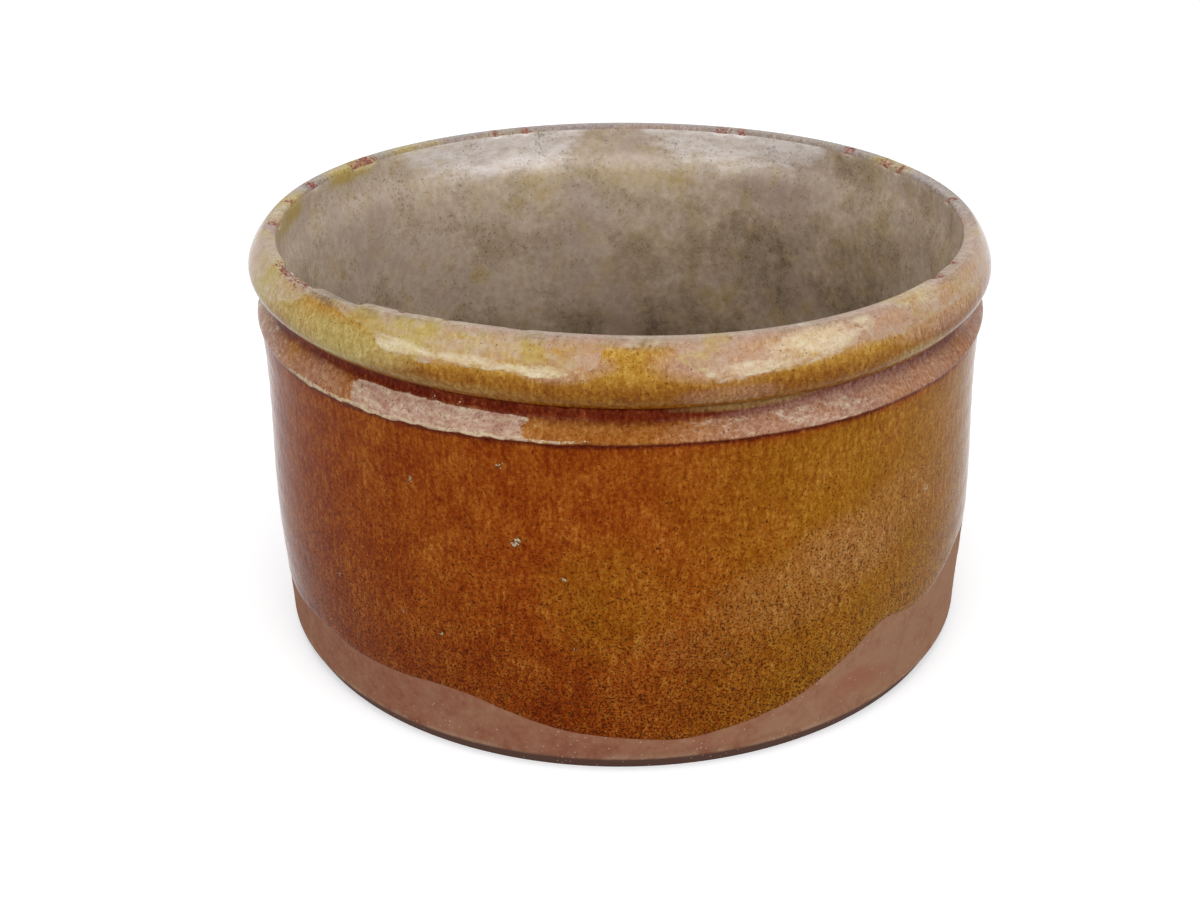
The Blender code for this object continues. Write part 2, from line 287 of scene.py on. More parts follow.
class GlazeColours(bpy.types.PropertyGroup):
    """Colours of the outer glaze"""

    amber: colour("Amber", "Glaze on the wall", "#873d08")
    # Ochre is painted light on the wall's lit right side, and ochre glaze in the patch in front
    ochre: colour("Ochre", "Wall where the fire left it yellow", "#986312")
    tan: colour("Tan", "Wall where the glaze is rubbed thin", "#a66f38")
    # Pooled is thick glaze in the groove, darkened there with painted shade under the rim; just under
    # the strip's edge it is a painted shadow line
    pooled_and_shade: colour("Pooled", "Thick glaze in the groove", "#5f1e07")
    rim_low: colour("Rim below", "Lower half of the rim", "#8a5510")
    rim_high: colour("Rim above", "Upper half of the rim", "#a97c2e")
    olive: colour("Olive", "Greenish glaze on the rim", "#b29b5c")
    strip: colour("Strip", "Glaze over the strip", "#9a5f28")
    # Rosy is clay through thin glaze, and partly a painted reflected sheen
    rosy: colour("Rosy", "Clay showing through thin glaze", "#ac8674")
    lip: colour("Lip", "Thin glaze on the lip's inner edge", "#8d775e")
    # Milky is thin milky glaze and partly a painted reflection; cream is a painted highlight in it
    milky: colour("Milky", "Thin, milky glaze on the crest", "#b6a18d")
    cream: colour("Cream", "Milky glaze where it is thickest", "#e2d4b1")
    # Grit in the bubbles is a painted glint; on the burr it is raw clay
    grit: colour("Grit", "Pale grit in bubbles and on the burr", "#c9b694")
    speck: colour("Speck", "Iron specks", "#381300")
    chip: colour("Chip", "Raw clay in the chips", "#884e46")
    lip_grey: colour("Grey lip", "Stained lip round the back", "#9c8e80")
    lip_mauve: colour("Mauve lip", "Purplish stains on the lip", "#92827c")


class ClayColours(bpy.types.PropertyGroup):
    """Colours of the unglazed clay"""

    clay: colour("Clay", "Fired clay of the foot", "#844f39")
    clay_light: colour("Light clay", "Where the clay is rubbed pale", "#9a7156")
    clay_red: colour("Red clay", "Flushes left by the fire", "#8f4a38")
    # The dark clay of the bevel is painted shade under the foot
    bevel_shade: colour("Dark clay", "Soiled bevel", "#54382d")
    arris: colour("Arris", "Rubbed edge above the bevel", "#b08c72")
    grit: colour("Grit", "Pale grit and the strip's raw burr", "#c4a88e")


class InsideColours(bpy.types.PropertyGroup):
    """Colours of the inner glaze"""

    grey: colour("Grey", "Stained glaze of the wall", "#a39079")
    light: colour("Light", "Cleaner glaze near the lip", "#bdab97")
    dark: colour("Dark", "Stains", "#7c6c5b")
    # Bloom is the whitish painted reflection under the lip
    bloom: colour("Bloom", "Whitish bloom under the lip", "#e2dad6")
    mauve: colour("Mauve", "Purplish stains", "#9c8984")
    moss: colour("Moss", "Greenish stains", "#98876a")
    yellow: colour("Yellow", "Yellow glaze in hollows", "#b3994c")
    speck: colour("Speck", "Dirt in the pinholes", "#43382d")


class StageSettings(bpy.types.PropertyGroup):
    """Floor, lamps and camera"""

    floor: colour("Floor", "Colour of the floor", "#f2f2f2")
    box_power: bpy.props.FloatProperty(
        name="Box power", description="Power of each front soft box in watts", default=5.8, min=0.0
    )
    room_light: bpy.props.FloatProperty(
        name="Room light", description="Strength of the light from all round", default=0.50, min=0.0
    )


def settings(name):
    return getattr(bpy.context.scene, name)


# Outlines, in the plane y = 0, from top to bottom on an outer side


def at(radius, height):
    return Vector((radius, 0.0, height))


def smooth(turns):
    """A line through its turns. Each has its place, the pulls of the line into it and out of it,
    and the number of steps that lead to it."""
    line = [turns[0][0]]
    for (start, _, leaving, _), (end, coming, _, steps) in zip(turns, turns[1:]):
        line += interpolate_bezier(start, start + leaving, end + coming, end, steps + 1)[1:]
    return line


def ease(start, end, share):
    return start + (end - start) * share * share * (3.0 - 2.0 * share)


def wall_radius(height, sizes):
    """Outer radius of the wall at a height."""
    top = sizes.height - SHOULDER_DROP
    share = min(max((height - sizes.bevel_height) / (top - sizes.bevel_height), 0.0), 1.0)
    for (low, start), (high, end) in zip(WALL_SWELL, WALL_SWELL[1:]):
        if share <= high:
            return ease(sizes.rim_radius - start, sizes.rim_radius - end, (share - low) / (high - low))


def lip_corner(sizes):
    """The lip's inner edge, where the two coats meet."""
    return at(sizes.rim_radius - LIP_INSET, sizes.height - LIP_DROP)


def outer_line(sizes):
    """The glaze's surface from the lip's inner edge over the rim, groove and strip to the wall."""
    radius, height = sizes.rim_radius, sizes.height
    lip_top = at(radius - 0.0085, height)
    crest = at(radius - sizes.crest_inset, height)
    widest = at(radius, height - sizes.widest_drop)
    rim_edge = at(radius - 0.0020, height - sizes.rim_height)
    neck = at(radius - sizes.groove_depth, height - sizes.rim_height - 0.0027)
    strip_top = at(radius - sizes.strip_top_inset, height - sizes.strip_top_drop)
    strip_edge = at(radius - sizes.strip_edge_inset, height - sizes.strip_edge_drop)
    chin = at(radius - 0.0019, strip_edge.z - 0.0009)
    top = height - WALL_TOP_DROP
    return smooth((
        (lip_corner(sizes), None, at(0.0, 0.0012), 0),
        (lip_top, at(-0.0010, 0.0), at(0.0008, 0.0), 5),
        (crest, at(-0.0008, 0.0), at(0.27 * sizes.crest_inset, 0.0), 3),
        (widest, at(0.0, 0.35 * sizes.widest_drop), at(0.0, (rim_edge.z - widest.z) / 2), 20),
        (rim_edge, at(0.0008, 0.0012), at(-0.0009, -0.0009), 8),
        (neck, at(0.0, 0.0016), at(0.0, -0.0014), 8),
        (strip_top, at(-0.0009, 0.0009), at(0.0013, -0.0014), 6),
        (strip_edge, at(-0.0004, 0.0022), at(0.0, -0.0006), 10),
        (chin, at(0.0005, 0.0), at(-0.0003, -0.0002), 3),
        (at(wall_radius(top, sizes), top), at(0.0, 0.0004), None, 2),
    ))


def wall_line(sizes, lowest, steps):
    """The wall's outer surface below the strip, down to a height."""
    top = sizes.height - WALL_TOP_DROP
    heights = [top + (lowest - top) * step / steps for step in range(1, steps + 1)]
    return [at(wall_radius(height, sizes), height) for height in heights]


def inner_line(sizes):
    """The inside from the lip's edge down the recess, ridge, wall and cove to the floor's middle."""
    corner = lip_corner(sizes)
    inner = sizes.rim_radius - 0.0127
    floor = sizes.floor_thickness
    recess = at(corner.x + 0.0002, sizes.height - 0.0080)
    ridge = at(inner, sizes.height - 0.0239)
    cove_top = at(inner - 0.0008, floor + COVE)
    cove_end = at(cove_top.x - COVE, floor)
    line = smooth((
        (corner, None, at(-0.0002, -0.0015), 0),
        (recess, at(0.0, 0.0025), at(0.0, -0.0070), 6),
        (ridge, at(0.0006, 0.0090), at(-0.0006, -0.0090), 14),
        (cove_top, at(0.0002, 0.0300), at(0.0, -0.0078), 44),
        (cove_end, at(0.0078, 0.0), None, 10),
    ))
    return line + [at(cove_end.x * (1.0 - step / 8), floor) for step in range(1, 9)]


# Making a piece on the wheel, and the marks of the hand


def nothing_selected():
    if bpy.context.object and bpy.context.object.mode != "OBJECT":
        bpy.ops.object.mode_set(mode="OBJECT")
    bpy.ops.object.select_all(action="DESELECT")


def thrown(name, outline):
    """Draws an outline from one point by extruding it, and turns it round the axis. The outline
    runs down an outer side and up an inner side, so that the faces look outwards."""
    nothing_selected()
    bpy.ops.mesh.primitive_plane_add(size=0.001, location=outline[0])
    piece = bpy.context.object
    piece.name = piece.data.name = name
    bpy.ops.object.transform_apply()
    bpy.ops.object.mode_set(mode="EDIT")
    bpy.ops.mesh.select_all(action="SELECT")
    bpy.ops.mesh.merge(type="CENTER")
    for before, here in zip(outline, outline[1:]):
        bpy.ops.mesh.extrude_region_move(TRANSFORM_OT_translate={"value": here - before})
    bpy.ops.mesh.select_all(action="SELECT")
    bpy.ops.mesh.remove_doubles(threshold=MERGE)
    bpy.ops.object.mode_set(mode="OBJECT")
    wheel = piece.modifiers.new("Wheel", "SCREW")
    wheel.steps = ROUND_STEPS
    wheel.render_steps = ROUND_STEPS
    wheel.use_merge_vertices = True
    wheel.merge_threshold = MERGE
    bpy.ops.object.modifier_apply(modifier=wheel.name)
    bpy.ops.object.shade_smooth()
    return piece


def polar(piece):
    """Azimuth in degrees, radius and height of every point of a piece."""
    places = np.empty(len(piece.data.vertices) * 3)
    piece.data.vertices.foreach_get("co", places)
    places = places.reshape(-1, 3)
    azimuth = np.degrees(np.arctan2(places[:, 0], -places[:, 1]))
    return azimuth, np.hypot(places[:, 0], places[:, 1]), places[:, 2].copy()


def place_polar(piece, azimuth, radius, height):
    turn = np.radians(azimuth)
    places = np.stack([radius * np.sin(turn), -radius * np.cos(turn), height], -1)
    piece.data.vertices.foreach_set("co", places.astype(np.float32).ravel())
    piece.data.update()


def masked(piece, **masks):
    """Keeps a value for every point of a piece, which its material reads by name."""
    for name, values in masks.items():
        layer = piece.data.attributes.new(name, "FLOAT", "POINT")
        layer.data.foreach_set("value", values.astype(np.float32))


def wave(azimuth, shares):
    """Sum of the parts that go once, twice and more times round."""
    turn = np.radians(azimuth)
    total = np.full_like(turn, shares[0])
    for times in range(1, len(shares) // 2 + 1):
        total += shares[2 * times - 1] * np.cos(times * turn)
        total += shares[2 * times] * np.sin(times * turn)
    return total


def ragged(azimuth, height, start):
    """An uneven run of small steps from about -1 to 1, made of waves that share no period."""
    turn = np.radians(azimuth)
    total = np.zeros_like(turn)
    for place, times in enumerate((17, 29, 43, 61, 83, 109, 139)):
        total += np.sin(times * turn + start * (place + 1) + 900.0 * height / (place + 2)) / 7
    return 2.2 * total


def between(value, low, high):
    """0 below low, 1 above high, smooth in between."""
    share = np.clip((value - low) / (high - low), 0.0, 1.0)
    return share * share * (3.0 - 2.0 * share)


def within(value, start, risen, falling, end):
    """1 from risen to falling, 0 before the start and after the end."""
    return between(value, start, risen) * (1.0 - between(value, falling, end))


def far(azimuth, middle):
    """Degrees from a middle azimuth, from -180 to 180."""
    return (azimuth - middle + 180.0) % 360.0 - 180.0


def patches(azimuth, height, places):
    """Strength of the strongest of some soft patches at each point."""
    total = np.zeros_like(azimuth)
    for middle, level, wide, tall, most in places:
        away = np.hypot(far(azimuth, middle) / wide, (height - level) / tall)
        total = np.maximum(total, most * (1.0 - between(away, 0.5, 1.5)))
    return total


def on_line(azimuth, line):
    """Height of a line drawn round the pot."""
    angles, heights = zip(*line)
    return np.interp(azimuth, angles, heights, period=360.0)


def run_height(azimuth):
    """Height of the outer glaze's end, with the line's corners softened."""
    return np.mean([on_line(azimuth + step, RUN_LINE) for step in (-2, -1, 0, 1, 2)], 0)


def above_line(azimuth, height, line):
    """0.5 on a drawn line round the pot, rising to 1 five millimetres above it."""
    return np.clip(0.5 + (height - on_line(azimuth, line)) / 0.010, 0.0, 1.0)


def dented(azimuth, radius, height, sizes):
    """How deep each point is pressed in, by the list of dents in the lip."""
    lip = lip_corner(sizes)
    # Distance from the lip's rounded top
    reach = np.hypot(radius - lip.x - 0.0010, height - lip.z - 0.0010)
    depth = np.zeros_like(azimuth)
    for start, end, most in LIP_DENTS:
        past = far(azimuth, (start + end) / 2)
        half = (end - start) / 2
        depth = np.maximum(depth, most * within(past, -half, half * 0.7, half * 0.74, half))
    return depth * (1.0 - between(reach, 0.0012, 0.0042))


def chipped(azimuth, radius, height, sizes):
    """How deep and how far each point is chipped, by the list of chips along the lip's edge."""
    lip = lip_corner(sizes)
    # Distance from the lip's rounded top, a little higher up than for the dents
    reach = np.hypot(radius - lip.x - 0.0010, height - lip.z - 0.0012)
    depth = np.zeros_like(azimuth)
    share = np.zeros_like(azimuth)
    for middle, size, most in LIP_CHIPS:
        laid_bare = 0.7 + 0.3 * between(most, 0.0002, 0.0008)
        along = np.abs(far(azimuth, middle)) * math.pi / 180.0 * lip.x / (size / 2)
        across = reach / (0.0012 + 1.5 * most * (1.0 + 0.5 * ragged(azimuth, height, middle)))
        depth = np.maximum(depth, most * (1.0 - between(along ** 4 + across ** 2, 0.5, 1.3)))
        fade = between(along ** 2 + 0.5 * across ** 2, 0.1, 2.0)
        share = np.maximum(share, laid_bare * (1.0 - fade))
    return depth, share


def by_hand(piece, sizes):
    """Turns the wheel's exact shape into the hand's: wavy rings, throwing marks and chips."""
    azimuth, radius, height = polar(piece)
    turn = np.radians(azimuth)
    top = sizes.height
    edge = top - sizes.strip_edge_drop
    lip = wave(azimuth, LIP_WAVES)
    # In front, each ring below the rim has waves of its own; round the back they follow the lip
    behind = between(np.abs(azimuth), 80.0, 125.0)
    still = np.zeros_like(azimuth)
    rings = [(0.0, still), (STEADY_HEIGHT, still)]
    for drop, shares in (
        (sizes.strip_edge_drop, STRIP_EDGE_WAVES),
        (sizes.strip_top_drop, STRIP_TOP_WAVES),
        (sizes.rim_height, RIM_EDGE_WAVES),
    ):
        rings.append((top - drop, wave(azimuth, shares) * (1.0 - behind) + lip * behind))
    rings.append((top, lip))
    lifted = np.where(height > top, lip, 0.0)
    for (low, start), (high, end) in zip(rings, rings[1:]):
        reached = (height >= low) & (height <= high)
        lifted = np.where(reached, start + (end - start) * ((height - low) / (high - low)), lifted)
    inside = radius < sizes.rim_radius - 0.0078
    lifted = np.where(inside, lip * between(height, 0.100, top - 0.003), lifted)
    chips, broken = chipped(azimuth, radius, height, sizes)
    dents = dented(azimuth, radius, height, sizes)
    masked(piece, turned_height=height, chip=broken)
    # The strip's lower edge is torn, most of all on the left of the front
    burr = within(height, edge - 0.0014, edge, edge, edge + 0.0024)
    burr *= 0.30 + 0.70 * within(-azimuth, 2.0, 12.0, 46.0, 56.0)
    outside = radius > sizes.rim_radius - 0.0075
    lifted += np.where(outside, burr * 0.0005 * ragged(azimuth, 0.0, 1.7), 0.0)
    marks = sum(
        depth * np.sin(height * math.tau / spacing + starts * turn)
        for spacing, depth, starts in THROWING_MARKS
    )
    marks *= within(height, 0.006, 0.020, top - 0.040, top - 0.028) * np.where(inside, 0.5, 1.0)
    chips *= CHIP_SLOPE
    radius += sizes.unevenness * marks + chips * (radius < sizes.rim_radius - 0.006)
    place_polar(piece, azimuth, radius, height + sizes.unevenness * lifted - chips - dents)


def kept(piece, slot, *nodes):
    """Hangs a finished piece on the pot's one body in place of its CAD nodes."""
    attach(piece, "root")
    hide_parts(*nodes)


def sunk(outline, depth):
    """An outline moved into the clay, square to its own run."""
    moved = []
    for place, spot in enumerate(outline):
        run = outline[min(place + 1, len(outline) - 1)] - outline[max(place - 1, 0)]
        run.normalize()
        moved.append(spot + depth * at(run.z, -run.x))
    return moved


def walled(piece, thickness):
    """Gives a surface its thickness, inwards."""
    nothing_selected()
    piece.select_set(True)
    bpy.context.view_layer.objects.active = piece
    shell = piece.modifiers.new("Coat", "SOLIDIFY")
    shell.thickness = thickness
    shell.offset = -1.0
    bpy.ops.object.modifier_apply(modifier=shell.name)
    # The coats meet without a seam: only their cut edges are sharp
    bpy.ops.object.shade_smooth_by_angle(angle=math.radians(50.0))


# Materials. A pattern's scale is how many of its parts fit in a metre: 65 gives parts of 15 mm


def blank(name):
    """A new material with no nodes."""
    made = bpy.data.materials.new(name)
    made.use_nodes = True
    made.node_tree.nodes.clear()
    return made, made.node_tree


def add(tree, kind, *values, out=None, stops=(), **named):
    """Adds a node and gives one of its outputs. Values go to its inputs in their order, or by a
    capitalised name, and are numbers, colours or outputs of other nodes. A name in lower case is
    an option, and stops are a ramp's places and colours."""
    node = tree.nodes.new("ShaderNode" + kind)
    for name in filter(str.islower, named):
        setattr(node, name, named[name])
    given = list(zip((socket for socket in node.inputs if socket.enabled), values))
    given += [(node.inputs[name.replace("_", " ")], named[name]) for name in named if name[0].isupper()]
    for socket, value in given:
        if isinstance(value, bpy.types.NodeSocket):
            tree.links.new(value, socket)
        elif socket.type == "RGBA":
            socket.default_value = (*tuple(value)[:3], 1.0)
        else:
            socket.default_value = value
    for place, (share, hue) in enumerate(stops):
        ramp = node.color_ramp.elements
        stop = ramp[place] if place < 2 else ramp.new(share)
        stop.position = share
        stop.color = (*tuple(hue)[:3], 1.0)
    return node.outputs[out] if out else next((end for end in node.outputs if end.enabled), None)


def laid_over(tree, under, hue, mask, *levels):
    """Lays a colour over another one by a mask, or as a mask rises between two levels."""
    cover = add(tree, "MapRange", mask, *levels) if levels else mask
    return add(tree, "Mix", cover, under, hue, data_type="RGBA")


def amber_glaze(name, ior):
    """Lead glaze over red clay, poured and fired in a wood kiln. It is clear amber on the wall,
    dark where it pools, with painted shade in the groove and a painted shadow line under the strip,
    milky and thin on edges, partly a painted reflection there, and full of iron specks from the clay."""
    hues = settings("pot_glaze")
    sizes = settings("pot_sizes")
    made, tree = blank(name)
    spot = add(tree, "TexCoord", out="Object")
    level, chip, burr, worn, ochre, olive, rosy, tan, milky, cream, stained = (
        add(tree, "Attribute", attribute_name=mask, out="Fac")
        for mask in "turned_height chip burr worn ochre olive rosy tan milky cream stained".split()
    )
    # Clouds about 15 mm across, where the coat is thicker or thinner
    clouds = add(tree, "TexNoise", spot, Scale=65.0, Detail=3.0, Roughness=0.6)
    # Runs about 1.6 mm wide and 5 mm long, left as the glaze flowed down
    falling = add(tree, "Mapping", spot, Scale=(1.0, 1.0, 0.3))
    runs = add(tree, "TexNoise", falling, Scale=620.0, Detail=2.0)
    # Grain of 1 mm, a little taller than wide; the real one is half that and wouldn't show
    taller = add(tree, "Mapping", spot, Scale=(1.0, 1.0, 0.75))
    grain = add(tree, "TexNoise", taller, Scale=900.0, Detail=3.0, Roughness=0.75)
    # Colours by height, in shares of 150 mm, with the zones' borders half a millimetre uneven
    wavy = add(tree, "Math", clouds, 0.002, level, operation="MULTIPLY_ADD")
    share = add(tree, "MapRange", wavy, 0.001, 0.151)
    zones = add(tree, "ValToRGB", share, stops=(
        (0.000, hues.amber),
        (0.765, hues.amber),
        # The pooled band just under the strip's edge is a painted shadow line
        (0.773, hues.pooled_and_shade),
        (0.779, hues.pooled_and_shade),
        (0.783, hues.strip),
        (0.819, hues.strip),
        # In the groove the pooled band is thick glaze, darkened further with painted shade under the
        # rim
        (0.830, hues.pooled_and_shade),
        (0.852, hues.pooled_and_shade),
        (0.870, hues.rim_low),
        (0.900, hues.rim_low),
        (0.930, hues.rim_high),
        (0.968, hues.rim_high),
        (0.984, hues.lip),
    ))
    # The lip's top is stained like the inside round the back
    stain = add(tree, "ValToRGB", clouds, stops=((0.40, hues.lip_mauve), (0.56, hues.lip_grey)))
    glaze = laid_over(tree, zones, stain, stained)
    for mask, hue in ((ochre, hues.ochre), (olive, hues.olive), (tan, hues.tan), (rosy, hues.rosy)):
        cloudy = add(tree, "Math", clouds, mask, operation="MULTIPLY")
        glaze = laid_over(tree, glaze, hue, cloudy, 0.06, 0.56)
    # Brushed round the rim: wisps 5 mm long that break up the thin glazes, and tears of 1 mm
    brushed = add(tree, "Mapping", spot, Scale=(1.0, 1.0, 3.0))
    wisps = add(tree, "TexNoise", brushed, Scale=210.0, Detail=6.0, Roughness=0.68)
    torn = add(tree, "TexNoise", spot, Scale=800.0, Detail=4.0, Roughness=0.7)
    # On the strip the glaze is worn down to a thin skin in places that end sharply, painted pale there
    # partly as a reflected sheen
    skin_and_sheen = add(tree, "Math", wisps, 1.6, worn, operation="MULTIPLY_ADD")
    skin_and_sheen_tone = laid_over(tree, hues.rosy, hues.cream, wisps, 0.46, 0.70, 0.0, 0.55)
    glaze = laid_over(tree, glaze, skin_and_sheen_tone, skin_and_sheen, 1.20, 1.42, 0.0, 0.95)
    # Where the coat is thick it is darker and redder, as a dye is
    thick = add(tree, "Math", runs, 0.45, grain, operation="MULTIPLY_ADD")
    thick = add(tree, "Math", clouds, 0.5, thick, operation="MULTIPLY_ADD")
    depth = add(tree, "MapRange", thick, 0.62, 1.33, 0.52, 1.44)
    glaze = add(tree, "Gamma", glaze, depth)
    # Milky glaze, partly a painted reflection, has a broken edge, lets what is under it through, and
    # carries painted highlights in patches
    edge = add(tree, "Math", wisps, 0.45, milky, operation="MULTIPLY_ADD")
    reached = add(tree, "MapRange", edge, 0.70, 0.79)
    tones = (0.38, hues.rosy), (0.50, hues.milky), (0.62, hues.olive)
    veil = add(tree, "ValToRGB", clouds, stops=tones)
    cloudy = add(tree, "MapRange", wisps, 0.36, 0.64, 0.10, 0.80)
    cover = add(tree, "Math", reached, cloudy, operation="MULTIPLY")
    glaze = laid_over(tree, glaze, veil, cover)
    # Cream patches are painted highlights
    highlighted = add(tree, "Math", wisps, 2.0, cream, operation="MULTIPLY_ADD")
    highlighted = add(tree, "Math", torn, 1.4, highlighted, operation="MULTIPLY_ADD")
    highlighted = add(tree, "MapRange", highlighted, 1.90, 3.20, 0.0, 0.85)
    cover = add(tree, "Math", highlighted, reached, operation="MULTIPLY")
    glaze = laid_over(tree, glaze, hues.cream, cover)
    # Iron specks of 0.3 to 0.8 mm, thickest low on the wall and where the glaze is thin
    low = add(tree, "MapRange", level, 0.020, 0.115, 0.13, 0.0)
    crowd = add(tree, "Math", tan, 0.03, low, operation="MULTIPLY_ADD")
    crowd = add(tree, "Math", reached, -0.03, crowd, operation="MULTIPLY_ADD")
    flecks = add(tree, "TexNoise", spot, Scale=1500.0, Detail=2.0, Roughness=0.6)
    crowd = add(tree, "Math", flecks, crowd, operation="ADD")
    glaze = laid_over(tree, glaze, hues.speck, crowd, 0.62, 0.70, 0.0, 0.84)
    # Burst bubbles, ringed with dark and pale inside as a painted glint, and large flecks, none of them
    # quite round
    shaken = add(tree, "TexNoise", spot, out="Color", Scale=900.0)
    shaken = add(tree, "VectorMath", shaken, [SHAKE] * 3, spot, operation="MULTIPLY_ADD")
    spots = [(*pit, ((0.62, hues.speck), (0.42, hues.grit))) for pit in PITS_AND_GLINTS]
    spots += [(*fleck, ((0.42, hues.speck),)) for fleck in FLECKS]
    for azimuth, height, size, rings in spots:
        turn = math.radians(azimuth)
        radius = sizes.rim_radius - sizes.groove_depth
        if height < sizes.height - sizes.strip_top_drop:
            radius = wall_radius(height, sizes)
        middle = Vector((radius * math.sin(turn), -radius * math.cos(turn), height))
        middle += Vector([SHAKE / 2] * 3)
        away = add(tree, "VectorMath", shaken, middle, operation="DISTANCE")
        for reach, hue in rings:
            glaze = laid_over(tree, glaze, hue, away, reach * size, reach * size * 1.5, 0.85, 0.0)
    # The strip's torn edge is dry and pale where no glaze held on it
    dry = add(tree, "Math", torn, 2.6, burr, operation="MULTIPLY_ADD")
    dry = add(tree, "MapRange", dry, 1.94, 2.34, 0.0, 0.85)
    there = add(tree, "Math", burr, 8.0, operation="MULTIPLY")
    dry = add(tree, "Math", dry, there, operation="MINIMUM")
    glaze = laid_over(tree, glaze, hues.grit, dry)
    # Chips break off along the grain of the clay
    bare = add(tree, "Math", torn, 4.5, chip, operation="MULTIPLY_ADD")
    bare = add(tree, "MapRange", bare, 2.90, 3.10)
    there = add(tree, "Math", chip, 8.0, operation="MULTIPLY")
    bare = add(tree, "Math", bare, there, operation="MINIMUM")
    broken = add(tree, "ValToRGB", wisps, stops=((0.48, hues.chip), (0.68, hues.rosy)))
    glaze = laid_over(tree, glaze, broken, bare)
    # Glossy, but dull in the chips
    dull = add(tree, "MapRange", bare, 0.0, 1.0, 0.12, 0.85)
    # The fired surface is wavy over 2 to 5 mm, and never optically flat
    ripple = add(tree, "TexNoise", spot, Scale=260.0, Detail=3.0, Roughness=0.5)
    bump = add(tree, "Bump", Height=ripple, Strength=0.4, Distance=0.0005)
    shader = add(tree, "BsdfPrincipled", Base_Color=glaze, Roughness=dull, IOR=ior, Normal=bump)
    add(tree, "OutputMaterial", shader)
    return made


def bare_clay():
    """Red earthenware clay, wiped free of glaze and fired bare: matte, with pale grit in it."""
    hues = settings("pot_clay")
    made, tree = blank("Bare earthenware clay")
    spot = add(tree, "TexCoord", out="Object")
    level, warm, flush, raw = (
        add(tree, "Attribute", attribute_name=mask, out="Fac")
        for mask in "turned_height warm flush raw".split()
    )
    # Clouds of 11 mm and mottling of 2 mm
    clouds = add(tree, "TexNoise", spot, Scale=90.0, Detail=7.0, Roughness=0.72)
    mottled = add(tree, "TexNoise", spot, Scale=420.0, Detail=4.0, Roughness=0.7)
    share = add(tree, "Math", warm, 0.22, clouds, operation="MULTIPLY_ADD")
    share = add(tree, "Math", mottled, 0.5, share, operation="MULTIPLY_ADD")
    clay = add(tree, "ValToRGB", share, stops=((0.58, hues.clay), (1.0, hues.clay_light)))
    broken = add(tree, "Math", clouds, 2.6, flush, operation="MULTIPLY_ADD")
    clay = laid_over(tree, clay, hues.clay_red, broken, 1.80, 2.70, 0.0, 0.65)
    # The foot is rubbed pale just above the bevel, and the bevel, which faces down, is darkened with
    # painted shade
    rubbed = add(tree, "MapRange", level, 0.0052, 0.0068, 0.75, 0.0)
    patchy = add(tree, "MapRange", clouds, 0.42, 0.60)
    rubbed = add(tree, "Math", rubbed, patchy, operation="MULTIPLY")
    clay = laid_over(tree, clay, hues.arris, rubbed)
    clay = laid_over(tree, clay, hues.bevel_shade, level, 0.0042, 0.0052, 1.0, 0.0)
    # Grit of 0.3 to 0.6 mm
    cells = add(tree, "TexVoronoi", spot, Scale=380.0)
    grit = add(tree, "MapRange", cells, 0.07, 0.14, 0.6, 0.0)
    pale = add(tree, "Math", grit, raw, operation="MAXIMUM")
    clay = laid_over(tree, clay, hues.grit, pale)
    grain = add(tree, "TexNoise", spot, Scale=900.0, Detail=4.0, Roughness=0.7)
    bump = add(tree, "Bump", Height=grain, Strength=0.5, Distance=0.0004)
    shader = add(tree, "BsdfPrincipled", Base_Color=clay, Roughness=0.85, IOR=1.3, Normal=bump)
    add(tree, "OutputMaterial", shader)
    return made


